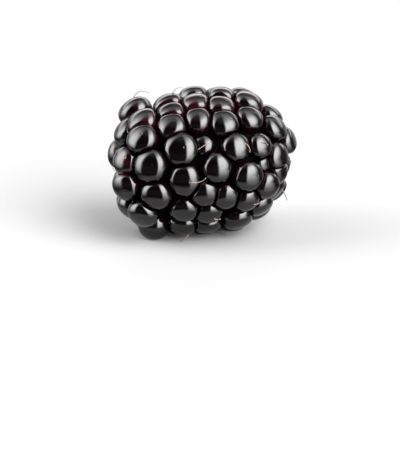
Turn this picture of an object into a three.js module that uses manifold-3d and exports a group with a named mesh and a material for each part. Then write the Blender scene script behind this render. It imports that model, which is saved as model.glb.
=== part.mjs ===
// A ripe bramble berry lying on its side, picked, with the pale end of its receptacle still in it.
// Millimetres, +Z up. The long axis runs along X with the tip at +X. The berry rests on z = 0.

import * as THREE from 'three';
import { mergeVertices } from 'three/addons/utils/BufferGeometryUtils.js';
import Module from 'manifold-3d';

// ---- Driving dimensions ----

// The middle of the fruit's axis, and how far the tip is raised in degrees. The small steps
// forward and aside bring the middle of the footprint to the origin.
const axisForward = 0.04;
const axisAside = -0.12;
const axisHeight = 11.55;
const axisPitch = 5;

// The rings of drupelets, from the stem end to the tip.
// station: place along the axis. reach: how far the drupelets' centres are from the axis.
// first: angle of the first drupelet, from the top of the fruit round over the -Y side.
// sway: how far the ring runs towards the tip on the side away from -Y.
const rings = [
  { name: 'collar', station: -12.8, reach: 6.0, count: 8, first: 10, radius: 2.15, sway: 0.7 },
  { name: 'shoulder', station: -9.6, reach: 8.8, count: 12, first: -17, radius: 2.4, sway: 0.9 },
  { name: 'rear', station: -4.5, reach: 9.45, count: 14, first: -3, radius: 2.35, sway: -0.3 },
  { name: 'girth', station: -0.6, reach: 9.9, count: 15, first: -16, radius: 2.25, sway: -0.2 },
  { name: 'front', station: 3.7, reach: 9.75, count: 15, first: -11, radius: 2.25, sway: 0 },
  { name: 'slope', station: 8.0, reach: 8.6, count: 13, first: 4, radius: 2.2, sway: -0.2 },
  { name: 'nose', station: 11.2, reach: 6.1, count: 10, first: 0, radius: 2.1, sway: -0.1 },
  { name: 'tip', station: 11.9, reach: 3.0, count: 5, first: 41, radius: 2.0, sway: 0 },
  { name: 'point', station: 12.1, reach: 0.2, count: 1, first: 0, radius: 1.6, sway: 0 },
];

// The rings sway away from this angle.
const swayFrom = 65;

// The drupelets that grew out of line with their ring, by ring name and place in the ring.
// along: towards the tip. around: degrees. out: away from the axis. size: a factor on the radius.
const strays = {
  collar: {
    0: { along: 0.95, around: 4.5, out: 0.8, size: 0.97 },
    1: { size: 0.94 },
    7: { along: 1.1, out: -0.2 },
  },
  shoulder: {
    0: { along: -0.3, around: -5, size: 1.1 },
    2: { along: -0.8, around: -4, size: 0.92 },
    3: { along: 0.5, around: -4, size: 1.05 },
    4: { along: 0.5, around: -3, size: 0.94 },
    5: { along: -1.5, around: -11, size: 0.9 },
    6: { around: -4, out: 0.25 },
  },
  rear: {
    0: { along: 0.3, around: 3 },
    1: { around: -8, size: 0.97 },
    2: { around: -17, size: 0.97 },
    3: { along: 0.25, around: -18, size: 1.1 },
    4: { along: 0.2, around: -12, size: 0.98 },
    5: { along: 0.2, around: -8, size: 0.92 },
    7: { out: -0.3 },
    13: { out: -0.7 },
  },
  girth: {
    0: { along: 0.4, around: -5, size: 1.01 },
    2: { along: -0.1, around: -3.5, size: 0.92 },
    3: { along: -0.1, around: -2, out: -0.9, size: 0.74 },
    4: { along: 1.85, around: -2, size: 1.02 },
    5: { along: -0.6, around: -4, size: 0.93 },
    6: { around: -3, size: 0.94 },
    7: { around: -3 },
    8: { around: -5, out: -0.3 },
    9: { around: -4 },
    10: { around: -2 },
  },
  front: {
    0: { along: 0.3, around: 8, size: 0.95 },
    1: { along: -0.2, size: 0.95 },
    2: { along: -0.5, around: 1, size: 0.95 },
    3: { along: 0.6, around: -0.5, size: 0.93 },
    4: { along: 2.2, around: 4, size: 0.98 },
    5: { along: -1.5, around: -3, size: 0.92 },
    6: { along: 2.2, around: -19, size: 0.88 },
    7: { along: 0.3, around: -11 },
    8: { around: -4, out: 0.3 },
    13: { around: 3 },
    14: { around: 7, out: -0.3 },
  },
  slope: {
    0: { along: 0.4, size: 1.08 },
    1: { along: -0.5, around: -1.5, size: 0.96 },
    2: { along: 0.6, around: 3.5, size: 0.86 },
    3: { along: 0.6, around: -2, out: -0.9, size: 0.6 },
    4: { along: 1.5, around: -8, size: 0.98 },
    5: { out: -0.3 },
    12: { along: -0.3, around: 4, out: 0.4 },
  },
  nose: {
    0: { along: 0.6, around: -6, out: -0.3, size: 0.98 },
    1: { around: -4, size: 0.98 },
    2: { around: 5 },
    3: { around: -5, size: 0.95 },
    4: { along: -0.8, out: -0.4 },
    9: { along: -0.4, out: -0.9 },
  },
  tip: {
    0: { along: 1.3, size: 1.06 },
  },
};

// Growth is never exact: each drupelet strays by up to these amounts, by a seeded draw.
const growthSeed = 20;
const growthAlong = 0.2;
const growthAround = 1.5;
const growthOut = 0.12;
const growthSize = 0.03;

// A drupelet points away from the spot on the axis at this share of its own station.
const rootStation = 0.55;

// The flesh between the drupelets reaches this far below their centres.
const fleshDepth = 0.8;
const fleshSides = 28;
const tipFleshStation = 12.1;

// The receptacle: a pale plug in a socket at the stem end, with a pit where the stalk let go.
const plugRadius = 3.1;
const plugFace = -13.1;
const plugDepth = 2.6;
const plugDome = 0.35;
const pitRadius = 1.15;
const pitDepth = 0.7;
const plugSides = 20;
const plugRim = 0.5;
const socketGap = 0.3;
const socketOverrun = 4;

// A drupelet is a dome with this many sides and rows of faces, on a root so many radii deep.
const domeSides = 9;
const domeRows = 3;
const rootDepth = 1.2;

// The block that stands for the table, to flatten the drupelets that the berry lies on.
const tableSpan = 60;
const tableDepth = 6;

// Edges under this length are drawn to a point, unless a face would turn by more than the
// angle of this cosine.
const shortestEdge = 0.06;
const foldCosine = 0.2;

// ---- The frame of the fruit ----

const pitch = THREE.MathUtils.degToRad(axisPitch);
const tipward = new THREE.Vector3(Math.cos(pitch), 0, Math.sin(pitch));
const upward = new THREE.Vector3(-Math.sin(pitch), 0, Math.cos(pitch));
const sideward = new THREE.Vector3(0, -1, 0);
const axisMiddle = new THREE.Vector3(axisForward, axisAside, axisHeight);

// A point of the fruit from its station on the axis, its reach from the axis and its angle.
function fruitPoint(station, reach, degrees) {
  const angle = THREE.MathUtils.degToRad(degrees);
  return axisMiddle
    .clone()
    .addScaledVector(tipward, station)
    .addScaledVector(upward, reach * Math.cos(angle))
    .addScaledVector(sideward, reach * Math.sin(angle));
}

// ---- Where each drupelet grows ----

// A linear congruential draw, even between -1 and 1.
let drawState = growthSeed;
function draw() {
  drawState = (Math.imul(drawState, 1664525) + 1013904223) >>> 0;
  return (drawState / 4294967296) * 2 - 1;
}

// The centre, outward direction and radius of every drupelet, ring by ring.
function growDrupelets() {
  const drupelets = [];
  for (const ring of rings) {
    for (let place = 0; place < ring.count; place += 1) {
      const stray = { along: 0, around: 0, out: 0, size: 1, ...strays[ring.name]?.[place] };
      const angle = ring.first + (360 * place) / ring.count + stray.around + growthAround * draw();
      const away = (1 - Math.cos(THREE.MathUtils.degToRad(angle - swayFrom))) / 2;
      const station = ring.station + ring.sway * away + stray.along + growthAlong * draw();
      const reach = ring.reach + stray.out + growthOut * draw();
      const radius = ring.radius * stray.size * (1 + growthSize * draw());
      const centre = fruitPoint(station, reach, angle);
      const root = fruitPoint(rootStation * station, 0, 0);
      const outward = centre.clone().sub(root).normalize();
      drupelets.push({ centre, outward, radius });
    }
  }
  return drupelets;
}

// ---- Solids ----

const wasm = await Module();
wasm.setup();

// A closed geometry as a solid that can be joined and cut.
function solidOf(geometry) {
  const bare = geometry.clone();
  bare.deleteAttribute('normal');
  bare.deleteAttribute('uv');
  const merged = mergeVertices(bare, 1e-4);
  const mesh = new wasm.Mesh({
    numProp: 3,
    vertProperties: new Float32Array(merged.attributes.position.array),
    triVerts: new Uint32Array(merged.index.array),
  });
  return new wasm.Manifold(mesh);
}

// Groups the corners of a closed mesh into shells that share no corner, and keeps the shell
// with the largest volume: a hollow sealed between the drupelets is filled that way.
function outerShell(points, faces) {
  const parent = points.map((_, corner) => corner);
  const rootOf = (corner) => {
    let root = corner;
    while (parent[root] !== root) {
      parent[root] = parent[parent[root]];
      root = parent[root];
    }
    return root;
  };
  for (const [a, b, c] of faces) {
    parent[rootOf(b)] = rootOf(a);
    parent[rootOf(c)] = rootOf(a);
  }
  const volumes = new Map();
  for (const [a, b, c] of faces) {
    const wedge = points[a].dot(points[b].clone().cross(points[c])) / 6;
    volumes.set(rootOf(a), (volumes.get(rootOf(a)) ?? 0) + wedge);
  }
  const [outermost] = [...volumes].sort((one, other) => other[1] - one[1])[0];
  return faces.filter(([a]) => rootOf(a) === outermost);
}

// The direction a face looks in, as long as twice its area.
function facing(points, [a, b, c]) {
  const side = points[b].clone().sub(points[a]);
  return side.cross(points[c].clone().sub(points[a]));
}

// Draws the end of an edge into its start where that leaves the surface closed and unfolded.
// ring: for each corner, the set of faces around it.
function drawTogether(points, ring, start, end) {
  const around = (corner) => new Set([...ring[corner]].flat());
  const shared = [...around(start)].filter((corner) => around(end).has(corner));
  if (shared.length !== 4) {
    return false;
  }
  const moved = [...ring[end]].filter((face) => !face.includes(start));
  const redrawn = moved.map((face) => face.map((corner) => (corner === end ? start : corner)));
  const folds = redrawn.some((face, k) => {
    const after = facing(points, face);
    const before = facing(points, moved[k]);
    return after.dot(before) <= foldCosine * after.length() * before.length();
  });
  if (folds) {
    return false;
  }
  for (const face of [...ring[end]]) {
    face.forEach((corner) => ring[corner].delete(face));
  }
  for (const face of redrawn) {
    face.forEach((corner) => ring[corner].add(face));
  }
  return true;
}

// Takes the slivers out of a closed mesh, by drawing each edge under the limit to a point.
function withoutSlivers(points, faces, shortest) {
  const ring = points.map(() => new Set());
  for (const face of faces) {
    face.forEach((corner) => ring[corner].add(face));
  }
  for (const face of faces) {
    for (let side = 0; side < 3; side += 1) {
      const [start, end] = [face[side], face[(side + 1) % 3]];
      const present = ring[start].has(face) && ring[end].has(face);
      if (present && points[start].distanceTo(points[end]) < shortest) {
        drawTogether(points, ring, start, end) || drawTogether(points, ring, end, start);
      }
    }
  }
  return [...new Set(ring.flatMap((set) => [...set]))];
}

// The faces of a solid as a geometry with flat normals.
function geometryOf(solid) {
  const { vertProperties, triVerts } = solid.getMesh();
  const points = [];
  for (let start = 0; start < vertProperties.length; start += 3) {
    points.push(new THREE.Vector3().fromArray(vertProperties, start));
  }
  const faces = [];
  for (let start = 0; start < triVerts.length; start += 3) {
    faces.push(Array.from(triVerts.slice(start, start + 3)));
  }
  const kept = withoutSlivers(points, outerShell(points, faces), shortestEdge);
  const corners = kept.flat().flatMap((corner) => points[corner].toArray());
  const geometry = new THREE.BufferGeometry();
  geometry.setAttribute('position', new THREE.Float32BufferAttribute(corners, 3));
  geometry.computeVertexNormals();
  return geometry;
}

// A body turned round the axis of the fruit, from (station, reach) points given from the stem
// end to the tip, starting and ending on the axis.
function turnedOnAxis(profile, sides) {
  const outline = profile.map(([station, reach]) => new THREE.Vector2(reach, station));
  const geometry = new THREE.LatheGeometry(outline, sides);
  const stand = new THREE.Matrix4().makeBasis(upward, tipward, sideward.clone().negate());
  geometry.applyMatrix4(stand);
  geometry.translate(axisMiddle.x, axisMiddle.y, axisMiddle.z);
  return geometry;
}

// One drupelet: a dome of few faces on a root that narrows to a point inside the flesh.
function drupeletDome({ centre, outward, radius }) {
  const profile = [new THREE.Vector2(0, -rootDepth * radius)];
  for (let row = 0; row < domeRows; row += 1) {
    const lift = (Math.PI / 2) * (row / domeRows);
    profile.push(new THREE.Vector2(radius * Math.cos(lift), radius * Math.sin(lift)));
  }
  profile.push(new THREE.Vector2(0, radius));
  const dome = new THREE.LatheGeometry(profile, domeSides);
  const top = new THREE.Vector3(0, 1, 0);
  dome.applyQuaternion(new THREE.Quaternion().setFromUnitVectors(top, outward));
  dome.translate(centre.x, centre.y, centre.z);
  return dome;
}

// The flesh that the drupelets stand out of follows their rings a little below their centres.
function fleshProfile() {
  const first = rings[0];
  const profile = [[first.station, 0], [first.station, first.reach - fleshDepth]];
  for (const ring of rings.slice(1, -1)) {
    profile.push([ring.station, ring.reach - fleshDepth]);
  }
  profile.push([tipFleshStation, rings.at(-1).reach - fleshDepth]);
  profile.push([tipFleshStation, 0]);
  return profile;
}

// The socket is the plug's outline one gap larger, open past the stem end.
function socketProfile() {
  const floor = plugFace + plugDepth + socketGap;
  const mouth = plugFace - socketOverrun;
  const reach = plugRadius + socketGap;
  return [[mouth, 0], [mouth, reach], [floor, reach], [floor, 0]];
}

// The plug's face is a low dome with a round pit in the middle.
function plugProfile() {
  const face = plugFace;
  return [
    [face - plugDome + pitDepth, 0],
    [face - plugDome + pitDepth * 0.8, pitRadius * 0.6],
    [face - plugDome, pitRadius],
    [face - plugDome * 0.75, plugRadius * 0.6],
    [face + plugRim * 0.3, plugRadius * 0.93],
    [face + plugRim, plugRadius],
    [face + plugDepth, plugRadius],
    [face + plugDepth, 0],
  ];
}

// The space below the surface that the berry rests on.
function belowTable() {
  const block = new THREE.BoxGeometry(tableSpan, tableSpan, tableDepth);
  block.translate(0, 0, -tableDepth / 2);
  return block;
}

// The whole head: flesh and drupelets in one body, flat where it rests, with its socket.
function growHead() {
  let head = solidOf(turnedOnAxis(fleshProfile(), fleshSides));
  for (const drupelet of growDrupelets()) {
    head = head.add(solidOf(drupeletDome(drupelet)));
  }
  head = head.subtract(solidOf(belowTable()));
  head = head.subtract(solidOf(turnedOnAxis(socketProfile(), plugSides)));
  return geometryOf(head);
}

// ---- The berry ----

const drupeletSkin = new THREE.MeshStandardMaterial({ color: 0x120d12, roughness: 0.22, metalness: 0 });
const receptacleFlesh = new THREE.MeshStandardMaterial({ color: 0xd6cfa4, roughness: 0.75, metalness: 0 });

const drupelets = new THREE.Mesh(growHead(), drupeletSkin);
drupelets.name = 'drupelets';

const receptacle = new THREE.Mesh(turnedOnAxis(plugProfile(), plugSides), receptacleFlesh);
receptacle.name = 'receptacle';

const berry = new THREE.Group();
berry.add(drupelets);
berry.add(receptacle);

export default berry;
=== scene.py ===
# %% [markdown]
# # A ripe bramble berry
# The berry is about thirty millimetres long and lies on its side. Its head is built of some ninety
# juicy beads, called drupelets, that grow in rings round a pale core, the receptacle. Each drupelet
# still carries the dried thread of its flower, called a style, or the small scar it left. This
# lesson shapes the drupelets from one formula, then makes the dark flesh between them, the pale
# end where the stalk let go, and the threads, and last the finishes, the lights and the camera.
#
# The solid model is loaded first. It fixes where everything is, so it comes before any work.

import bpy
import numpy as np
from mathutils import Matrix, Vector


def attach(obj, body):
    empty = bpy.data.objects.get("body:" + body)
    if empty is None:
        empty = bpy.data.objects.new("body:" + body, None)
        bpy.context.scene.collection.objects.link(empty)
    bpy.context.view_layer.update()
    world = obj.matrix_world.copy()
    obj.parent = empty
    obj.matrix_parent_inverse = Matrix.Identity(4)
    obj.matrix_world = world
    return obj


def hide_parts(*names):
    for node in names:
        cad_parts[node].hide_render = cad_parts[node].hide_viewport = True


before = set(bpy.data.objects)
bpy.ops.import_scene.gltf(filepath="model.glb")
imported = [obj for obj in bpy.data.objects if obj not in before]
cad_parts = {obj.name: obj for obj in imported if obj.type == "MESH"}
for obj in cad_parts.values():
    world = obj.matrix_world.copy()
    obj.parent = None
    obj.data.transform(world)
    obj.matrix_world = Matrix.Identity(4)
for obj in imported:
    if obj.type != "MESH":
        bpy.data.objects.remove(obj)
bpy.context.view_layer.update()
mm = 0.001

# %% [markdown]
# ## Where the drupelets grow
# On the plant the drupelets sit in rings that are packed a little irregularly. They could be placed
# by hand, scattered, or worked out ring by ring. The rings are used, with a short list of the
# drupelets that strayed and a small seeded draw, because that repeats exactly and stays close to
# the solid model. A place on the fruit is its station along the axis, its reach from the axis and
# its angle round it, counted from the top over the near side.

# %% The axis of the fruit
axis_middle = np.array([0.04, -0.12, 11.55]) * mm
axis_pitch = np.radians(5)
tipward = np.array([np.cos(axis_pitch), 0, np.sin(axis_pitch)])
upward = np.array([-np.sin(axis_pitch), 0, np.cos(axis_pitch)])
sideward = np.array([0, -1, 0])
print("the axis rises by", round(np.degrees(axis_pitch)), "degrees towards the tip")


def at_angle(angle, first, second):
    """The direction at each angle: its cosine times the first plus its sine times the second."""
    return np.cos(angle)[..., None] * first + np.sin(angle)[..., None] * second


def fruit_point(station, reach, degrees):
    """The axis point at the station, plus reach times (cosine up, sine to the near side)."""
    out = at_angle(np.radians(degrees), upward, sideward)
    return axis_middle + (station[..., None] * tipward + reach[..., None] * out) * mm


# %% The rings, and the drupelets that strayed from them
# name: station, reach, count, first angle, radius, sway, in mm and degrees
rings = {
    "collar": (-12.8, 6.0, 8, 10, 2.15, 0.7),
    "shoulder": (-9.6, 8.8, 12, -17, 2.4, 0.9),
    "rear": (-4.5, 9.45, 14, -3, 2.35, -0.3),
    "girth": (-0.6, 9.9, 15, -16, 2.25, -0.2),
    "front": (3.7, 9.75, 15, -11, 2.25, 0),
    "slope": (8.0, 8.6, 13, 4, 2.2, -0.2),
    "nose": (11.2, 6.1, 10, 0, 2.1, -0.1),
    "tip": (11.9, 3.0, 5, 41, 2.0, 0),
    "point": (12.1, 0.2, 1, 0, 1.6, 0),
}

# ring and place: mm along, degrees around, mm out, and the size as a share
strays = {
    ("collar", 0): (1.14, 0.3, 0.98, 0.97),
    ("collar", 1): (0.16, 1.3, 0, 0.94),
    ("collar", 2): (-0.47, -5.8, -0.1, 1),
    ("collar", 7): (1.1, 0, -0.2, 1),
    ("shoulder", 0): (-0.49, -5.2, 0.19, 1.1),
    ("shoulder", 1): (0.23, 3.8, -0.19, 1),
    ("shoulder", 2): (-0.47, -3.5, 0, 0.92),
    ("shoulder", 3): (0.58, -2.5, 0, 1.05),
    ("shoulder", 4): (0.61, -2.1, 0.02, 0.94),
    ("shoulder", 5): (-1.5, -11, 0, 0.9),
    ("shoulder", 6): (0, -4, 0.25, 1),
    ("rear", 0): (0.21, 2.4, 0.07, 1),
    ("rear", 1): (0, -8, 0, 0.97),
    ("rear", 2): (-0.29, -14.6, -0.09, 0.97),
    ("rear", 3): (0.23, -17, -0.01, 1.1),
    ("rear", 4): (0.2, -12, 0, 0.98),
    ("rear", 5): (0.2, -8, 0, 0.92),
    ("rear", 7): (0, 0, -0.3, 1),
    ("rear", 13): (0, 0, -0.7, 1),
    ("girth", 0): (0.4, -5, 0, 1.01),
    ("girth", 1): (0.17, 0.2, -0.01, 1),
    ("girth", 2): (0.08, -2, -0.05, 0.92),
    ("girth", 3): (0.05, 0.9, -0.93, 0.74),
    ("girth", 4): (1.83, -1, 0.01, 1.02),
    ("girth", 5): (-0.76, -2.2, 0.04, 0.93),
    ("girth", 6): (0, -3, 0, 0.94),
    ("girth", 7): (0, -3, 0, 1),
    ("girth", 8): (0, -5, -0.3, 1),
    ("girth", 9): (0, -4, 0, 1),
    ("girth", 10): (0, -2, 0, 1),
    ("front", 0): (0.3, 8, 0, 0.95),
    ("front", 1): (-0.18, 2.6, -0.16, 0.95),
    ("front", 2): (-0.53, 2.1, -0.03, 0.95),
    ("front", 3): (0.63, 0.6, -0.01, 0.93),
    ("front", 4): (2.26, 6.6, 0.04, 0.98),
    ("front", 5): (-1.75, -0.5, 0.07, 0.92),
    ("front", 6): (1.9, -18.1, 0.03, 0.88),
    ("front", 7): (0.3, -11, 0, 1),
    ("front", 8): (0, -4, 0.3, 1),
    ("front", 13): (0, 3, 0, 1),
    ("front", 14): (0, 7, -0.3, 1),
    ("slope", 0): (0.17, 0.3, -0.04, 1.08),
    ("slope", 1): (-0.41, -0.7, -0.02, 0.96),
    ("slope", 2): (0.35, 4.7, -0.01, 0.86),
    ("slope", 3): (0.6, -2, -0.9, 0.6),
    ("slope", 4): (1.08, -8.7, -0.04, 0.98),
    ("slope", 5): (0, 0, -0.3, 1),
    ("slope", 12): (-0.3, 4, 0.4, 1),
    ("nose", 0): (0.34, -4.7, -0.42, 0.98),
    ("nose", 1): (0.18, -1.5, -0.05, 0.98),
    ("nose", 2): (-0.13, 7, 0, 1),
    ("nose", 3): (-0.51, -5.8, -0.03, 0.95),
    ("nose", 4): (-0.8, 0, -0.4, 1),
    ("nose", 9): (-0.4, 0, -0.9, 1),
    ("tip", 0): (1.42, -1.7, 0.02, 1.06),
}
print(len(rings), "rings, and", len(strays), "drupelets that strayed")

# %% Growth that repeats exactly
growth_seed = 20
# the most that growth adds: degrees round the axis, mm along it, mm out, a share of the radius
growth = np.array([1.5, 0.2, 0.12, 0.03])


def growth_draws(count):
    """Even draws between -1 and 1: each state is the last one times 1664525 plus 1013904223."""
    state, draws = growth_seed, []
    for _ in range(count):
        state = (state * 1664525 + 1013904223) % 2**32
        draws.append(state / 2**31 - 1)
    return np.array(draws)


def unit(vectors):
    """Each vector divided by its length."""
    return vectors / np.linalg.norm(vectors, axis=-1, keepdims=True)


# %% Grow the drupelets
# the rings sway away from this angle
sway_from = 65
# a drupelet points away from the axis at this share of its own station
root_station = 0.55

names = [(ring, place) for ring, row in rings.items() for place in range(row[2])]
count = len(names)
ring_rows = np.array([rings[ring] for ring, _ in names], float)
places = np.array([place for _, place in names])
stray_rows = np.array([strays.get(name, (0, 0, 0, 1)) for name in names], float)
drawn = growth_draws(4 * count).reshape(-1, 4) * growth

angles = ring_rows[:, 3] + 360 * places / ring_rows[:, 2] + stray_rows[:, 1] + drawn[:, 0]
away = (1 - np.cos(np.radians(angles - sway_from))) / 2
stations = ring_rows[:, 0] + ring_rows[:, 5] * away + stray_rows[:, 0] + drawn[:, 1]
reaches = ring_rows[:, 1] + stray_rows[:, 2] + drawn[:, 2]
radii = ring_rows[:, 4] * stray_rows[:, 3] * (1 + drawn[:, 3]) * mm

centres = fruit_point(stations, reaches, angles)
roots = fruit_point(root_station * stations, np.zeros(count), angles)
outwards = unit(centres - roots)
print(count, "drupelets, radius in mm from", np.round([radii.min() / mm, radii.max() / mm], 2))

# %% [markdown]
# ## The shape of a drupelet
# A drupelet is a bead of juice in a tight skin. Alone it would be round, but its neighbours press
# it flat where they touch, so that it ends up between a ball and a rounded brick. Metaballs or a
# cloth simulation could give that, but both are slow and hard to steer. Here it is a formula: seen
# from its heart in any direction, the skin is as far off as the ball, or as the plane midway to a
# neighbour if that is nearer, and a power mean rounds the corner between the two.
#
# The grid of each drupelet has its pole at the scar of its style, on the side towards the tip. So
# the rows are close together there, and the small pit of the scar can be part of the shape.

# %% The pressed ball
# how much larger the juice would make each ball, if its neighbours let it
fullness = 1.16
# left free between two skins, and between a skin and the table
contact_gap = 0.02 * mm
table_gap = 0.01 * mm


def contact_planes(centres, balls, most=12):
    """For each ball the directions of its nearest neighbours and the distances of the planes
    where both balls are equally near: half of (d + (r1 squared - r2 squared) / d), less a gap."""
    apart = centres[None] - centres[:, None]
    length = np.linalg.norm(apart, axis=2)
    np.fill_diagonal(length, np.inf)
    near = np.argsort(length, axis=1)[:, :most]
    rows = np.arange(len(centres))[:, None]
    far = length[rows, near]
    plane = (far + (balls[:, None] ** 2 - balls[near] ** 2) / far) / 2 - contact_gap
    return apart[rows, near] / far[..., None], plane


balls = radii * fullness
sides, plane_distances = contact_planes(centres, balls)
down = np.broadcast_to([0.0, 0.0, -1.0], (count, 1, 3))
sides = np.concatenate([sides, down], axis=1)
plane_distances = np.column_stack([plane_distances, centres[:, 2] - table_gap])
print("pressed on", int((plane_distances < balls[:, None]).sum()), "sides in all")

# %% The skin's own unevenness
# every draw here is a share of the ball's radius, but for the waves' turns and starts
rng = np.random.default_rng(7)
wave_count = 5
wave_sides = unit(rng.normal(size=(count, wave_count, 3)))
wave_turns = rng.uniform(2.0, 4.6, (count, wave_count))
wave_starts = rng.uniform(0, 2 * np.pi, (count, wave_count))
wave_heights = rng.uniform(0.002, 0.009, (count, wave_count))
thickness = rng.uniform(0.85, 0.95, count)
cap_distance = rng.uniform(0.87, 0.95, count)
stretch = rng.uniform(0.97, 1.06, (count, 2))
print("waves of", round(wave_heights.mean() * balls.mean() / mm, 3), "mm on average")

# %% Room to swell at the top, and the table below
# drupelets at the top of the fruit that had room to swell: thickness and cap times this
tall = {
    ("shoulder", 0): 1.08,
    ("rear", 0): 1.12,
    ("girth", 0): 1.2,
    ("girth", 14): 1.1,
    ("front", 0): 1.16,
    ("front", 14): 1.1,
    ("slope", 0): 1.1,
    ("slope", 12): 1.12,
    ("nose", 0): 1.08,
    ("tip", 0): 1.05,
}
for name, share in tall.items():
    thickness[names.index(name)] *= share
    cap_distance[names.index(name)] *= share

# a drupelet whose heart is lower than this share of its ball's radius carries the berry
resting_share = 0.95
# the table presses it flat instead of the cap, which is put too far off to touch
resting_thickness = 1.05
beyond_reach = 3
resting = centres[:, 2] < resting_share * balls
thickness[resting] = resting_thickness
cap_distance[resting] = beyond_reach
print(int(resting.sum()), "drupelets carry the berry")

# %% Where each scar is, and a few flats
scar_lean = np.radians(rng.normal(24, 7, count))
scar_drift = np.radians(rng.normal(0, 14, count))


def frame_round(axis, hint):
    """Two directions square to each axis: the hint made square to it, and their cross product."""
    first = unit(hint - (hint * axis).sum(-1, keepdims=True) * axis)
    return first, np.cross(axis, first)


tip_side, cross_side = frame_round(outwards, np.broadcast_to(tipward, outwards.shape))
leaning = at_angle(scar_drift, tip_side, cross_side)
scar_axes = at_angle(scar_lean, outwards, leaning)

# neighbours that have since dried up left flats too: each drupelet gets a few shallow ones
flat_count = 3
flat_turns = rng.uniform(0, 2 * np.pi, (count, flat_count))
flat_lifts = np.radians(rng.uniform(-5, 35, (count, flat_count)))
flat_out = at_angle(flat_turns, tip_side[:, None], cross_side[:, None])
sides = np.concatenate([sides, at_angle(flat_lifts, flat_out, outwards[:, None])], axis=1)
flat_distances = balls[:, None] * rng.uniform(1.06, 1.3, (count, flat_count))
plane_distances = np.concatenate([plane_distances, flat_distances], axis=1)
print("scars lean by", round(np.degrees(scar_lean).mean(), 1), "degrees on average")

# %% The formula of the skin
# the higher a power, the sharper the corner between two shapes that it joins
corner_power = 12
cap_power = 3.5
scar_width = 0.06
scar_depth = 0.010


def skin_distance(directions):
    """The heart's distance to the skin, as a share of the ball's radius. The ball is flattened to
    an ellipsoid: one over the root of the sum of squares of (direction along an axis / its half),
    times one plus the waves. Ball and planes are joined by a power mean: one over the p-th root of
    the sum of (1 / distance) to the power p. A second, softer mean joins the cap, a plane across
    the outward end. The scar's pit is its depth times e to minus (angle / width) squared."""
    lift = np.einsum("nkc,nwc->nkw", directions, wave_sides)
    waves = wave_heights[:, None] * np.sin(wave_turns[:, None] * lift + wave_starts[:, None])
    axes = np.stack([outwards, tip_side, cross_side], axis=1)
    halves = np.column_stack([thickness, stretch])
    squash = np.einsum("nkc,nac->nka", directions, axes) / halves[:, None]
    ball = (1 + waves.sum(axis=2)) / np.linalg.norm(squash, axis=2)
    facing = np.einsum("nkc,nsc->nks", directions, sides).clip(0)
    pressed = (facing / (plane_distances / balls[:, None])[:, None]) ** corner_power
    rounded = (ball**-corner_power + pressed.sum(axis=2)) ** (-1 / corner_power)
    outer = np.einsum("nkc,nc->nk", directions, outwards).clip(0)
    cap = (outer / cap_distance[:, None]) ** cap_power
    capped = (rounded**-cap_power + cap) ** (-1 / cap_power)
    angle = np.arccos(np.einsum("nkc,nc->nk", directions, scar_axes).clip(-1, 1))
    pit = scar_depth * np.exp(-((angle / scar_width) ** 2))
    return capped - pit, rounded / ball


# %% [markdown]
# ## From formulas to meshes
# Every piece here is a grid of points, so one helper puts any grid into a mesh. A grid that goes
# round an axis is closed by joining its last column to its first, and its two ends by a fan of
# triangles to a single point. Blender's own primitives could be bent into these shapes, but a grid
# keeps every point's place known. So the numbers that the finishes need, such as how far a point
# is from the scar, can be stored on the points as attributes.

# %% Helpers for meshes
def tube_faces(rows, columns):
    """Quads between neighbouring rows of a grid that closes on itself sideways."""
    row, column = np.meshgrid(np.arange(rows - 1), np.arange(columns), indexing="ij")
    after = (column + 1) % columns
    corners = [(row + 1) * columns + column, (row + 1) * columns + after]
    corners += [row * columns + after, row * columns + column]
    return np.stack(corners, axis=-1).reshape(-1, 4)


def fan_faces(columns, hub, first, turned):
    """Triangles from a hub to the row of points that starts at first."""
    column = np.arange(columns)
    after = (column + 1) % columns
    ring = [first + after, first + column] if turned else [first + column, first + after]
    return np.stack([np.full(columns, hub), *ring], axis=-1)


def closed_faces(rows, columns):
    """A tube's quads with a fan at each end. The two hubs come after the grid's own points."""
    hub = rows * columns
    first_fan = fan_faces(columns, hub, 0, False)
    last_fan = fan_faces(columns, hub + 1, (rows - 1) * columns, True)
    return tube_faces(rows, columns), np.concatenate([first_fan, last_fan])


def repeated(faces, copies, step):
    """The same faces for each copy of a grid, numbered on by the grid's count of points."""
    shift = (np.arange(copies) * step)[:, None, None]
    return (faces[None] + shift).reshape(-1, faces.shape[1])


def piece_from(name, points, quads, triangles, attributes):
    """A smooth shaded mesh at the origin that rides on the berry, with attributes on its points."""
    mesh = bpy.data.meshes.new(name)
    faces = quads.tolist() + triangles.tolist()
    mesh.from_pydata(points.reshape(-1, 3).tolist(), [], faces)
    for label, values in attributes.items():
        kind = "FLOAT_VECTOR" if values.ndim == 2 else "FLOAT"
        layer = mesh.attributes.new(label, kind, "POINT")
        layer.data.foreach_set("vector" if values.ndim == 2 else "value", values.ravel())
    mesh.shade_smooth()
    piece = bpy.data.objects.new(name, mesh)
    bpy.context.scene.collection.objects.link(piece)
    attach(piece, "root")
    print(f"{name}: {len(quads) * 2 + len(triangles)} triangles")
    return piece


def plane_place(distance, angle):
    """A place on a flat plane, for a finish to read: distance times (cosine, sine, 0)."""
    return np.stack([distance * np.cos(angle), distance * np.sin(angle), distance * 0], -1)


# %% Build the drupelets
skin_rows = 23
skin_columns = 40
last_angle = np.radians(152)
# above 1, the rows crowd towards the scar
row_crowding = 1.3
# the first row is this many rows away from the scar's middle
first_row = 0.6
# the far end lies deep in the flesh and is drawn in, so that it never shows
far_end_share = 0.6

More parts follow.
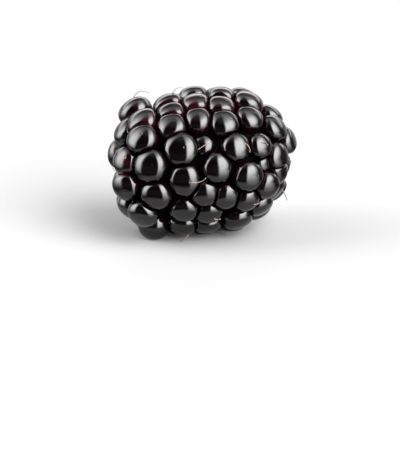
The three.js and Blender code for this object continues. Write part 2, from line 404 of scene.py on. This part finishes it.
row_share = (np.arange(skin_rows) + first_row) / (skin_rows - 1 + first_row)
polar = last_angle * row_share**row_crowding
turn = 2 * np.pi * np.arange(skin_columns) / skin_columns
scar_first, scar_second = frame_round(scar_axes, outwards + 0.01 * tipward)
ring_out = at_angle(turn[:, None], scar_first, scar_second)
grid = at_angle(polar[:, None, None], scar_axes, ring_out)
grid = np.moveaxis(grid, 2, 0).reshape(count, -1, 3)
directions = np.concatenate([grid, scar_axes[:, None], -scar_axes[:, None]], axis=1)

shares, pressing = skin_distance(directions)
shares[:, -1] *= far_end_share
skin_points = centres[:, None] + directions * (shares * balls[:, None])[..., None]
quads, triangles = closed_faces(skin_rows, skin_columns)
per_drupelet = skin_rows * skin_columns + 2
print(per_drupelet, "points in each drupelet")

# %% What the finish needs to know at each point
# how fast the skin turns to crease where it is pressed, and below this share of its height
pressed_gain = 7
low_height = 0.25
low_gain = 1.3

scar_angle = np.concatenate([np.repeat(polar, skin_columns), [0, np.pi]])
around = np.concatenate([np.tile(turn, skin_rows), [0, 0]])
scar_plane = plane_place(scar_angle, around)
scar_plane = np.broadcast_to(scar_plane, (count, per_drupelet, 3)).reshape(-1, 3)
height = np.einsum("nkc,nc->nk", directions, outwards)
crease = ((1 - pressing) * pressed_gain).clip(0, 1)
crease = (crease + ((low_height - height) * low_gain).clip(0, 1)).clip(0, 1).ravel()
print("crease on", round(100 * (crease > 0.5).mean()), "percent of the skin's points")

# %% Which drupelets are redder, and the piece itself
common_redness = 0.35
redness = rng.uniform(0, common_redness, count)
redder = {
    ("shoulder", 1): 1.0,
    ("shoulder", 0): 0.7,
    ("rear", 0): 0.6,
    ("rear", 1): 0.7,
    ("girth", 0): 0.5,
    ("girth", 1): 0.8,
    ("girth", 2): 0.5,
    ("front", 0): 0.6,
    ("front", 1): 1.0,
    ("slope", 0): 0.7,
    ("collar", 1): 1.0,
    ("collar", 2): 0.8,
    ("nose", 0): 0.6,
}
for name, share in redder.items():
    redness[names.index(name)] = share

drupelet_skins = piece_from(
    "drupelet_skins",
    skin_points,
    repeated(quads, count, per_drupelet),
    repeated(triangles, count, per_drupelet),
    {
        "scar_plane": scar_plane,
        "crease": crease,
        "redness": np.repeat(redness, per_drupelet),
    },
)
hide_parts("drupelets")

# %% [markdown]
# ## The flesh between the drupelets
# Between the beads one looks down on the dark flesh that they all grow from. It could be sculpted,
# but it is hardly seen, so a plain turned body with an uneven surface is enough: an outline along
# the axis, its reach rippled by a few waves. At the stem end it curls round the rim of the
# receptacle's socket.

# %% Helpers for turned bodies
def along_outline(outline, rows):
    """So many even steps along an outline of (station, reach) pairs: steps, stations, reaches."""
    steps = np.linspace(0, len(outline) - 1, rows)
    stations, reaches = (np.interp(steps, np.arange(len(outline)), side) for side in outline.T)
    return steps, stations, reaches


def rippled(station, degrees, height, turns):
    """Height times the mean of three sines that run round and along the fruit."""
    angle = np.radians(degrees)
    first = np.sin(turns * angle + 1.9 * station)
    second = np.sin((turns - 3) * angle - 2.7 * station + 1)
    third = np.sin((turns + 4) * angle + 0.8 * station + 2)
    return height * (first + second + third) / 3


def turned_piece(name, stations, reaches, degrees, ends, attributes):
    """A closed body round the axis, from grids of station, reach and angle and its end stations."""
    grid = fruit_point(stations, reaches, degrees).reshape(-1, 3)
    hubs = fruit_point(np.array(ends), np.zeros(2), np.zeros(2))
    quads, triangles = closed_faces(*reaches.shape)
    return piece_from(name, np.concatenate([grid, hubs]), quads, triangles, attributes)


# %% Build the flesh
flesh_depth = 0.75
flesh_rows = 100
flesh_columns = 96
socket_reach = 3.35
# station, reach: the first four go round the socket's rim, the others follow the rings
flesh_outline = np.array(
    [
        (-10.9, socket_reach),
        (-13.0, socket_reach),
        (-13.35, 3.6),
        (-13.3, 4.3),
        (-12.8, 5.9),
        (-9.6, 8.8),
        (-4.5, 9.45),
        (-0.6, 9.9),
        (3.7, 9.75),
        (8, 8.6),
        (11.2, 6.1),
        (11.9, 3.0),
        (12.1, 0.9),
    ]
)
flesh_outline[4:, 1] -= flesh_depth
_, flesh_station, flesh_reach = along_outline(flesh_outline, flesh_rows)
flesh_turn = 360 * np.arange(flesh_columns) / flesh_columns
station_grid, degree_grid = np.meshgrid(flesh_station, flesh_turn, indexing="ij")

# the rim itself is smooth, and the flesh is pale from this reach inwards
rippled_from = -12.9
pale_reach = 4.9
pale_before = -12
ripple = rippled(station_grid, degree_grid, 0.18, 11) * (station_grid > rippled_from)
near_stem = ((flesh_reach - pale_reach) / (socket_reach - pale_reach)).clip(0, 1)
near_stem *= flesh_station < pale_before
dark_flesh = turned_piece(
    "dark_flesh",
    station_grid,
    flesh_reach[:, None] + ripple,
    degree_grid,
    flesh_outline[[0, -1], 0],
    {"near_stem": np.concatenate([np.repeat(near_stem, flesh_columns), [1, 0]])},
)
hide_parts("drupelets")

# %% [markdown]
# ## The end of the receptacle
# When a ripe bramble berry is picked, its pale core comes away with it, and the stalk leaves a
# round fibrous scar with a pit in the middle. Displacement could tear its face, but ridges in the
# mesh itself show in every export. So it is a turned body too, with radial ridges where the fibres
# tore: a wave round the axis that is strongest half-way between the pit and the rim. Its edge has
# a few low lobes, because the socket isn't quite round.

# %% Build the receptacle end
plug_face = -13.1
plug_radius = 3.1
plug_rows = 56
plug_columns = 120
# the ridges stop after so many places of the outline
torn_places = 9
# station beyond the face, reach
plug_outline = np.array(
    [
        (0.45, 0.12),
        (0.42, 0.55),
        (0.3, 0.8),
        (-0.2, 1.05),
        (-0.38, 1.3),
        (-0.35, 1.6),
        (-0.3, 2.1),
        (-0.18, 2.6),
        (0.05, 2.9),
        (0.3, 3.05),
        (0.8, plug_radius),
        (2.6, plug_radius),
    ]
)
plug_outline[:, 0] += plug_face
plug_steps, plug_station, plug_reach = along_outline(plug_outline, plug_rows)
plug_turn = 360 * np.arange(plug_columns) / plug_columns
reach_grid, degree_grid = np.meshgrid(plug_reach, plug_turn, indexing="ij")
angle_grid = np.radians(degree_grid)

torn = np.sin(np.pi * (reach_grid / plug_radius).clip(0, 1)) * (plug_steps < torn_places)[:, None]
ridges = rippled(reach_grid * 0.7, degree_grid, 0.16, 23)
ridges = ridges + rippled(reach_grid * 2, degree_grid, 0.1, 9)
lobes = 1 + 0.045 * np.sin(3 * angle_grid + 1) + 0.03 * np.sin(5 * angle_grid)
fibre_plane = plane_place(reach_grid, angle_grid).reshape(-1, 3)
receptacle_end = turned_piece(
    "receptacle_end",
    plug_station[:, None] + ridges * torn,
    reach_grid * lobes,
    degree_grid,
    plug_station[[0, -1]],
    {"fibre_plane": np.concatenate([fibre_plane, np.zeros((2, 3))])},
)
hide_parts("receptacle")

# %% [markdown]
# ## The dried styles
# Each drupelet grew from one pistil of the flower, and its style often stays on as a thin, dry,
# curling thread. Curve objects with a bevel would do, but a few dozen threads are made faster as
# one mesh: a path that sets out from the scar and bends steadily, with a circle carried along it
# that tapers to the end.

# %% Draw the threads
kept_share = 0.34
keeps = rng.uniform(size=count) < kept_share
# on the near side and over the top, only the threads chosen by name are kept
near_until = 135
near_again_from = 285
keeps &= (angles >= near_until) & (angles <= near_again_from)
# length, heading round the scar from the tip side, lean, bend and swing
thread_rows = np.column_stack(
    [
        rng.uniform(1.3, 3.2, count) * mm,
        np.radians(rng.uniform(0, 360, count)),
        np.radians(rng.uniform(35, 75, count)),
        np.radians(rng.uniform(-10, 90, count)),
        np.radians(rng.normal(0, 70, count)),
    ]
)

# %% The threads chosen by name
# ring and place: the same five, in mm and degrees
chosen = {
    ("shoulder", 0): (2.9, 0, 15, 125, 0),
    ("rear", 0): (2.3, 0, -5, 110, 20),
    ("girth", 3): (2.6, 200, 84, 0, 10),
    ("rear", 4): (2.8, -25, 72, 20, 60),
    ("front", 3): (1.9, 0, 78, 10, -110),
    ("slope", 2): (1.5, 150, 80, 6, 0),
    ("girth", 6): (1.2, -60, 60, 20, 60),
    ("front", 6): (1.3, -40, 60, 20, 60),
    ("collar", 1): (1.4, 200, 75, 20, 40),
}
for name, (length, *turns) in chosen.items():
    keeps[names.index(name)] = True
    thread_rows[names.index(name)] = [length * mm, *np.radians(turns)]
print(int(keeps.sum()), "threads")

# %% Helpers for threads
thread_rings = 14
thread_sides = 6
along = np.linspace(0, 1, thread_rings)


def thread_paths(start, up, length, heading, lean, bend, swing):
    """A path that leans from up by lean plus bend times its share, and heads round up by heading
    plus swing times its share. The points are the running sum of equal steps that way:
    cosine lean up, plus sine lean (cosine heading first, sine heading second)."""
    slope = lean[:, None] + bend[:, None] * along
    turned = heading[:, None] + swing[:, None] * along
    first, second = frame_round(up, np.broadcast_to(tipward, up.shape))
    step = at_angle(slope, up[:, None], at_angle(turned, first[:, None], second[:, None]))
    step = step * (length / (thread_rings - 1))[:, None, None]
    return start[:, None] + np.cumsum(step, axis=1) - step[:, :1], unit(step)


def carried_circle(path, tangent, radius):
    """Each path point plus radius times (cosine side, sine other side), both square to the path.
    The sides are kept from twisting by leaning them on one direction that the path never takes."""
    turn = 2 * np.pi * np.arange(thread_sides) / thread_sides
    first = tangent[:, :1]
    square = unit(np.cross(first, tangent[:, -1:] + 0.3 * np.roll(first, 1, axis=-1)))
    side, other = frame_round(tangent, np.broadcast_to(square, tangent.shape))
    circle = at_angle(turn, side[:, :, None], other[:, :, None])
    return path[:, :, None] + circle * radius[:, None, None]


def thread_piece(name, path, tangent, radius):
    """Closed tubes along the paths, all in one mesh, with each point's share of its thread."""
    tubes = carried_circle(path, tangent, radius).reshape(len(path), -1, 3)
    points = np.concatenate([tubes, path[:, :1], path[:, -1:]], axis=1)
    quads, triangles = closed_faces(thread_rings, thread_sides)
    copies, step = points.shape[:2]
    share = np.concatenate([np.repeat(along, thread_sides), [0, 1]])
    faces = (repeated(quads, copies, step), repeated(triangles, copies, step))
    return piece_from(name, points, *faces, {"along_thread": np.tile(share, copies)})


# %% Build the threads
thread_radius = 0.08 * mm
# shares of that radius: at the root, lost on the way, and added by the dried stigma's knob
root_size, narrowing, knob_size = 1.25, 0.65, 0.5
knob_place, knob_width = 0.97, 0.05
root_sunk = 0.05 * mm
table_clearance = 0.15 * mm
wander_step = 0.02 * mm

up = scar_axes[keeps]
scar_share = skin_distance(scar_axes[:, None])[0][keeps, 0]
scar_points = centres[keeps] + up * (scar_share * balls[keeps] - root_sunk)[:, None]
path, tangent = thread_paths(scar_points, up, *thread_rows[keeps].T)
wander = rng.normal(0, wander_step, (len(up), thread_rings, 3)).cumsum(axis=1)
path = path + wander * along[:, None]
path[..., 2] = path[..., 2].clip(table_clearance)
knob = knob_size * np.exp(-(((along - knob_place) / knob_width) ** 2))
thread_shape = thread_radius * (root_size - narrowing * along + knob)
styles = thread_piece("styles", path, tangent, thread_shape)

# %% [markdown]
# ## Dry fibres at the stem end
# The flower's stamens stood in a ring round the receptacle, and short dry stumps of them are left
# after the fruit is picked. A particle system could scatter them, but three dozen are few enough to
# make like the styles, only shorter, finer and set in a ring.

# %% Build the fibres
fibre_count = 34
fibre_shape = 0.05 * mm * (1.2 - 0.6 * along)
fibre_station = np.full(fibre_count, -13.2)
fibre_degrees = np.arange(fibre_count) + rng.uniform(-0.4, 0.4, fibre_count)
fibre_degrees = 360 * fibre_degrees / fibre_count
fibre_starts = fruit_point(fibre_station, rng.uniform(3.4, 3.9, fibre_count), fibre_degrees)
fibre_roots = fruit_point(fibre_station, np.zeros(fibre_count), fibre_degrees)
path, tangent = thread_paths(
    fibre_starts,
    unit(0.5 * unit(fibre_starts - fibre_roots) - tipward),
    rng.uniform(0.6, 1.7, fibre_count) * mm,
    rng.uniform(0, 2 * np.pi, fibre_count),
    np.radians(rng.uniform(5, 50, fibre_count)),
    np.radians(rng.uniform(0, 70, fibre_count)),
    np.radians(rng.normal(0, 60, fibre_count)),
)
stem_fibres = thread_piece("stem_fibres", path, tangent, fibre_shape)

# %% [markdown]
# ## Finishes
# One pattern is used again and again in fruit: soft blotches of more and less of something. It is
# a node group that puts out one value, made once and placed in each finish with its own size. The
# shaders themselves stay in the finishes. Painted images could give the same look, but a pattern
# made of nodes needs no unwrapping and stays sharp however near one looks.

# %% Helpers for nodes
def feed(tree, pin, value):
    """Gives an input its value: a number, a colour, a vector or another node's output."""
    if isinstance(value, bpy.types.NodeSocket):
        tree.links.new(value, pin)
    else:
        pin.default_value = value


def placed(tree, kind, **inputs):
    """Adds a node and feeds its inputs by name."""
    node = tree.nodes.new(kind)
    for name, value in inputs.items():
        feed(tree, node.inputs[name.replace("_", " ")], value)
    return node


def maths(tree, work, *values, clamp=False):
    """One Math node, with one or two values."""
    node = tree.nodes.new("ShaderNodeMath")
    node.operation = work
    node.use_clamp = clamp
    for pin, value in zip(node.inputs, values):
        feed(tree, pin, value)
    return node.outputs[0]


def product(tree, values):
    """All the values multiplied."""
    result = values[0]
    for value in values[1:]:
        result = maths(tree, "MULTIPLY", result, value)
    return result


def total(tree, values):
    """All the values added up."""
    result = values[0]
    for value in values[1:]:
        result = maths(tree, "ADD", result, value)
    return result


def vector_maths(tree, work, vector, second=(0, 0, 0)):
    """One Vector Math node: a length or a dot product gives a number, the others a vector."""
    node = placed(tree, "ShaderNodeVectorMath", Vector=vector)
    node.operation = work
    node.inputs[1].default_value = second
    return node.outputs["Value" if work in ("LENGTH", "DOT_PRODUCT") else "Vector"]


def eased(tree, value, low, high, start, end, turn="SMOOTHSTEP"):
    """Start below low, end above high, and between them a soft turn, or a line if asked."""
    ends = {"From_Min": low, "From_Max": high, "To_Min": start, "To_Max": end}
    node = placed(tree, "ShaderNodeMapRange", Value=value, **ends)
    node.interpolation_type = turn
    return node.outputs["Result"]


# %% A node group for blotches
blotches = bpy.data.node_groups.new("blotches", "ShaderNodeTree")
sockets = [
    ("Place", "INPUT", "NodeSocketVector"),
    ("Scale", "INPUT", "NodeSocketFloat"),
    ("Low", "INPUT", "NodeSocketFloat"),
    ("High", "INPUT", "NodeSocketFloat"),
    ("Value", "OUTPUT", "NodeSocketFloat"),
]
for name, way, kind in sockets:
    blotches.interface.new_socket(name=name, in_out=way, socket_type=kind)
entry = blotches.nodes.new("NodeGroupInput").outputs
noise = placed(blotches, "ShaderNodeTexNoise", Vector=entry["Place"], Scale=entry["Scale"])
noise.inputs["Detail"].default_value = 3.0
spread = eased(blotches, noise.outputs["Fac"], 0.36, 0.64, entry["Low"], entry["High"])
blotches.links.new(spread, blotches.nodes.new("NodeGroupOutput").inputs["Value"])


def blotch(tree, place, scale, low, high):
    """Places the group and returns its value."""
    node = tree.nodes.new("ShaderNodeGroup")
    node.node_tree = blotches
    for name, value in (("Place", place), ("Scale", scale), ("Low", low), ("High", high)):
        feed(tree, node.inputs[name], value)
    return node.outputs["Value"]


# %% Helpers for finishes
def finish_for(piece, name):
    """A material with a plain Principled shader on the piece: its tree and the shader."""
    material = bpy.data.materials.new(name)
    material.use_nodes = True
    piece.data.materials.append(material)
    tree = material.node_tree
    return tree, tree.nodes["Principled BSDF"]


def object_place(tree):
    """The place on the piece in metres."""
    return tree.nodes.new("ShaderNodeTexCoord").outputs["Object"]


def stored(tree, name, output="Fac"):
    """A number or vector stored on the points."""
    node = tree.nodes.new("ShaderNodeAttribute")
    node.attribute_name = name
    return node.outputs[output]


def noisy(tree, place, scale, detail):
    """Plain noise at the place."""
    node = placed(tree, "ShaderNodeTexNoise", Vector=place, Scale=scale, Detail=detail)
    return node.outputs["Fac"]


def mixed(tree, share, first, second):
    """A colour that goes from the first to the second as share goes from 0 to 1."""
    node = tree.nodes.new("ShaderNodeMix")
    node.data_type = "RGBA"
    pins = {pin.identifier: pin for pin in node.inputs}
    for key, value in (("Factor_Float", share), ("A_Color", first), ("B_Color", second)):
        feed(tree, pins[key], value)
    return next(pin for pin in node.outputs if pin.type == "RGBA")


def bumped(tree, height, distance, strength, below=None):
    """A normal that leans with the height, which counts as so many metres."""
    node = placed(tree, "ShaderNodeBump", Height=height, Distance=distance, Strength=strength)
    if below is not None:
        tree.links.new(below, node.inputs["Normal"])
    return node.outputs["Normal"]


# %% [markdown]
# ### The skin
# The skin of a ripe drupelet is almost black, because it is deep red over dark juice, and it shows
# wine red only where it is thin or was shaded: in the creases and on drupelets that are less ripe.
# A thin layer of wax makes it glossy but a little uneven. A plain black gloss would look like
# glass. So the colour stays near black with a wine-red mix that follows the crease and the
# blotches, the roughness is mottled, and two fine bumps break up the reflections. Round the scar
# the skin is puckered, which is a noise that is stretched away from the scar.

# %% The skin's colour
ripe_black = (0.0008, 0.0005, 0.0007, 1)
wine = (0.034, 0.0022, 0.0068, 1)
scar_brown = (0.016, 0.007, 0.005, 1)

tree, shader = finish_for(drupelet_skins, "ripe_skin")
place = object_place(tree)
patches = blotch(tree, place, 420.0, 0.0, 1.0)
redder_skin = stored(tree, "redness")
thin_skin = product(tree, [stored(tree, "crease"), patches, 0.7])
reddening = total(tree, [thin_skin, maths(tree, "MULTIPLY", patches, 0.06)])
reddening = maths(tree, "MULTIPLY", reddening, redder_skin, clamp=True)
less_ripe = maths(tree, "SUBTRACT", redder_skin, common_redness, clamp=True)
flush = product(tree, [less_ripe, patches, 0.15])
coloured = mixed(tree, maths(tree, "ADD", reddening, flush, clamp=True), ripe_black, wine)
scar_place = stored(tree, "scar_plane", "Vector")
from_scar = vector_maths(tree, "LENGTH", scar_place)
scarred = eased(tree, from_scar, 0.015, 0.06, 0.9, 0.0, "LINEAR")
tree.links.new(mixed(tree, scarred, coloured, scar_brown), shader.inputs["Base Color"])

# %% The skin's wax and its bumps
tree.links.new(blotch(tree, place, 1300.0, 0.06, 0.10), shader.inputs["Roughness"])
shader.inputs["IOR"].default_value = 1.46
away_from_scar = vector_maths(tree, "NORMALIZE", scar_place)
pucker = noisy(tree, away_from_scar, 3.4, 1.0)
pucker = maths(tree, "MULTIPLY", pucker, eased(tree, from_scar, 0.04, 0.42, 1.0, 0.0))
leant = bumped(tree, noisy(tree, place, 900.0, 1.0), 0.00002, 0.35)
leant = bumped(tree, noisy(tree, place, 5200.0, 2.0), 0.000008, 0.5, leant)
leant = bumped(tree, pucker, 0.00004, 0.28, leant)
tree.links.new(leant, shader.inputs["Normal"])
print("ripe_skin:", len(tree.nodes), "nodes")

# %% [markdown]
# ### The flesh
# The flesh is soaked with dark juice and is matt, and it lies in deep shade; its near-black colour,
# darker than the skin's, is partly painted shade for the gaps.
# Only round the socket, where it tore off the receptacle and dried, is it pale. Two finishes on
# two sets of faces could do it, but one that reads a number stored on the points can fade.

# %% The flesh's finish
# near black: partly the dark juice, partly painted shade for the deep gaps between the drupelets
deep_juice_painted_shade = (0.0001, 0.00005, 0.00005, 1)
thin_juice_painted_shade = (0.0010, 0.0002, 0.0003, 1)
torn_pale = (0.055, 0.043, 0.022, 1)
torn_stained = (0.020, 0.006, 0.006, 1)

tree, shader = finish_for(dark_flesh, "dark_flesh")
place = object_place(tree)
# blotchy near black of the juice, which is also painted shade in the gaps
juice_and_painted_shade = mixed(tree, blotch(tree, place, 700.0, 0.0, 1.0), deep_juice_painted_shade, thin_juice_painted_shade)
pale_rim = mixed(tree, blotch(tree, place, 1100.0, 0.0, 1.0), torn_pale, torn_stained)
rimmed = product(tree, [stored(tree, "near_stem"), blotch(tree, place, 1700.0, 0.55, 1.0)])
tree.links.new(mixed(tree, rimmed, juice_and_painted_shade, pale_rim), shader.inputs["Base Color"])
shader.inputs["Roughness"].default_value = 0.5
shader.inputs["Specular IOR Level"].default_value = 0.01
pulp = bumped(tree, noisy(tree, place, 1500.0, 3.0), 0.0001, 0.8)
tree.links.new(pulp, shader.inputs["Normal"])
print("dark_flesh:", len(tree.nodes), "nodes")

# %% [markdown]
# ### The receptacle end and the threads
# The scar is dry and matt: a greenish cream with browner fibres that run outwards, a brown pith and
# a brown rim where the air has dried it. The fibres could be drawn by hand. Here they are a noise
# that only reads the direction from the middle, so it makes spokes. The threads are straw coloured
# and brown in patches, and thin enough that a plain finish with a mottle will do.

# %% The receptacle's finish
fibre_dark = (0.070, 0.062, 0.032, 1)
fibre_pale = (0.17, 0.155, 0.095, 1)
pith_brown = (0.040, 0.030, 0.014, 1)
dry_brown = (0.045, 0.016, 0.010, 1)

tree, shader = finish_for(receptacle_end, "dry_receptacle")
place = object_place(tree)
fibre_place = stored(tree, "fibre_plane", "Vector")
from_middle = vector_maths(tree, "LENGTH", fibre_place)
spokes = noisy(tree, vector_maths(tree, "NORMALIZE", fibre_place), 9.0, 4.0)
face = mixed(tree, spokes, fibre_dark, fibre_pale)
face = mixed(tree, eased(tree, from_middle, 0.4, 1.2, 0.75, 0.0, "LINEAR"), face, pith_brown)
rim = eased(tree, from_middle, 1.7, 3.0, 0.0, 1.0, "LINEAR")
dried = product(tree, [rim, blotch(tree, place, 1000.0, 0.25, 1.0)])
tree.links.new(mixed(tree, dried, face, dry_brown), shader.inputs["Base Color"])
shader.inputs["Roughness"].default_value = 0.7
leant = bumped(tree, spokes, 0.0002, 0.7)
leant = bumped(tree, noisy(tree, place, 2600.0, 3.0), 0.00006, 0.7, leant)
tree.links.new(leant, shader.inputs["Normal"])
print("dry_receptacle:", len(tree.nodes), "nodes")

# %% The threads' finish
straw_root = (0.16, 0.105, 0.085, 1)
straw_end = (0.15, 0.10, 0.065, 1)
straw_brown = (0.04, 0.020, 0.012, 1)

tree, shader = finish_for(styles, "dry_style")
straw = mixed(tree, stored(tree, "along_thread"), straw_root, straw_end)
straw = mixed(tree, blotch(tree, object_place(tree), 2200.0, 0.0, 0.55), straw, straw_brown)
tree.links.new(straw, shader.inputs["Base Color"])
shader.inputs["Roughness"].default_value = 0.55
stem_fibres.data.materials.append(styles.data.materials[0])
print("dry_style:", len(tree.nodes), "nodes")

# %% [markdown]
# ## Light
# A black, glossy thing is drawn by what it reflects: each drupelet shows a black middle, where the
# dark side of the room is, between two bright shapes, and a thin arc of light along its top. Area
# lamps could stand round it, but their edges are hard to soften. So the studio is the world itself,
# as a formula of the direction: a tall bright wall on the right with a sharp edge towards the
# front, a smaller one on the left, a white backdrop, a bright band above it, a weak ceiling and a
# pale table in front. Each is a product of soft steps along the level directions and the height.

# %% Directions in the studio
# the camera stands this many degrees round from the front, and the lights turn with it
camera_turn = -8.0

world = bpy.data.worlds.new("studio")
bpy.context.scene.world = world
world.use_nodes = True
tree = world.node_tree
backing = tree.nodes["Background"]
backing.inputs["Color"].default_value = (1, 1, 1, 1)
direction = tree.nodes.new("ShaderNodeTexCoord").outputs["Generated"]


def share_along(axis):
    """How far the direction goes along an axis, from -1 to 1."""
    return vector_maths(tree, "DOT_PRODUCT", direction, axis)


def level_axis(turn):
    """The level direction that lies turn degrees to the right of the camera."""
    angle = np.radians(camera_turn + turn)
    return np.sin(angle), -np.cos(angle), 0


backward = share_along(level_axis(180))
skyward = share_along((0, 0, 1))
print("the studio is turned by", camera_turn, "degrees")

# %% The two walls
# each wall's steps: the side it is on, the fade towards the back, its foot and its top
right_side, right_strength = 105, 19.0
left_side, left_strength = -152, 14.0

# the right wall reaches further back the higher or the lower one looks
leaned = total(tree, [backward, product(tree, [maths(tree, "ABSOLUTE", skyward), -0.7])])
right_wall = [
    right_strength,
    eased(tree, share_along(level_axis(right_side)), -0.03, 0.18, 0, 1),
    eased(tree, leaned, -0.85, -0.2, 1, 0.009),
    eased(tree, skyward, -0.85, 0.55, 0, 1),
    eased(tree, skyward, 0.75, 1.05, 1, 0.1),
]
left_wall = [
    left_strength,
    eased(tree, share_along(level_axis(left_side)), -0.06, 0.24, 0, 1),
    eased(tree, backward, -0.05, 0.65, 1, 0.013),
    eased(tree, skyward, -0.5, 0.3, 0, 1),
    eased(tree, skyward, 0.55, 1.0, 1, 0.1),
]

# %% Behind, above and in front
band_strength = 4.2
# what the camera itself sees behind the berry
seen_white = 0.93

backdrop = [
    eased(tree, backward, 0.35, 0.8, 0.1, 0.9),
    eased(tree, skyward, -0.4, -0.2, 0.2, 1),
    eased(tree, skyward, 0.1, 0.4, 1, 0.11),
]
bright_band = [
    band_strength,
    eased(tree, backward, 0.2, 0.6, 0, 1),
    eased(tree, skyward, 0.22, 0.36, 0, 1),
    eased(tree, skyward, 0.40, 0.66, 1, 0),
]
ceiling = [eased(tree, skyward, 0.75, 1.0, 0, 0.35)]
pale_table = [
    eased(tree, skyward, -0.65, -0.4, 1.1, 0),
    eased(tree, backward, -0.4, 0.2, 1, 0.25),
]
shapes = [right_wall, left_wall, backdrop, bright_band, ceiling, pale_table]
lit = total(tree, [product(tree, shape) for shape in shapes])
seen = tree.nodes.new("ShaderNodeLightPath").outputs["Is Camera Ray"]
unseen = maths(tree, "SUBTRACT", 1.0, seen)
strength = total(tree, [product(tree, [lit, unseen]), product(tree, [seen, seen_white])])
tree.links.new(strength, backing.inputs["Strength"])
print(len(shapes), "shapes of light")

# %% [markdown]
# ## Floor
# The floor is a plain pale sheet. A table top could be modelled, but its edges would never be seen,
# so one large square is enough. Because the walls are strong, it needs only a modest grey to look
# nearly white. A wide floor would fill the lower half of every reflection, which a small table
# doesn't, so away from the berry it lets reflections through to the studio behind it.

# %% The floor
floor_reach = 3.0
floor_grey = 0.23
# the part that the berry reflects, in metres each way
near_patch = (0.018, 0.0135)

mesh = bpy.data.meshes.new("floor")
corners = [(x * floor_reach, y * floor_reach, 0) for x, y in ((-1, -1), (1, -1), (1, 1), (-1, 1))]
mesh.from_pydata(corners, [], [(0, 1, 2, 3)])
floor = bpy.data.objects.new("floor", mesh)
bpy.context.scene.collection.objects.link(floor)
tree, shader = finish_for(floor, "pale_floor")
shader.inputs["Base Color"].default_value = (floor_grey, floor_grey, floor_grey, 1)
shader.inputs["Roughness"].default_value = 0.7
shader.inputs["Specular IOR Level"].default_value = 0.1
per_patch = (1 / near_patch[0], 1 / near_patch[1], 0)
patch_place = vector_maths(tree, "MULTIPLY", object_place(tree), per_patch)
farness = eased(tree, vector_maths(tree, "LENGTH", patch_place), 1.0, 1.6, 0.0, 1.0)
mirrored = tree.nodes.new("ShaderNodeLightPath").outputs["Is Glossy Ray"]
laid = placed(tree, "ShaderNodeMixShader", Fac=product(tree, [mirrored, farness]))
tree.links.new(shader.outputs[0], laid.inputs[1])
tree.links.new(tree.nodes.new("ShaderNodeBsdfTransparent").outputs[0], laid.inputs[2])
tree.links.new(laid.outputs[0], tree.nodes["Material Output"].inputs["Surface"])
print("floor:", 2 * floor_reach, "m square")

# %% [markdown]
# ## Camera
# A real berry is seen from a little above and from well away, so that it isn't drawn out by
# perspective. An orthographic camera could do that too, but a long lens keeps a trace of depth. The
# camera stands as far off as puts the wanted height of view into the frame.

# %% The camera
aim = Vector((-0.85, -3.52, 1.24)) * mm
camera_height = np.radians(18.7)
lens = 400.0
sensor = 36.0
seen_height = 73.7 * mm

camera = bpy.data.objects.new("camera", bpy.data.cameras.new("camera"))
camera.data.lens = lens
camera.data.sensor_width = sensor
level = np.cos(camera_height)
round_by = np.radians(camera_turn)
back = (np.sin(round_by) * level, -np.cos(round_by) * level, np.sin(camera_height))
camera.location = aim + Vector(back) * (seen_height * lens / sensor)
camera.rotation_euler = Vector(back).to_track_quat("Z", "Y").to_euler()
camera.data.clip_start = 0.01
camera.data.clip_end = 20
bpy.context.scene.collection.objects.link(camera)
bpy.context.scene.camera = camera
bpy.context.scene.view_settings.view_transform = "Standard"
print("camera at, mm:", np.round(np.array(camera.location) / mm, 1))
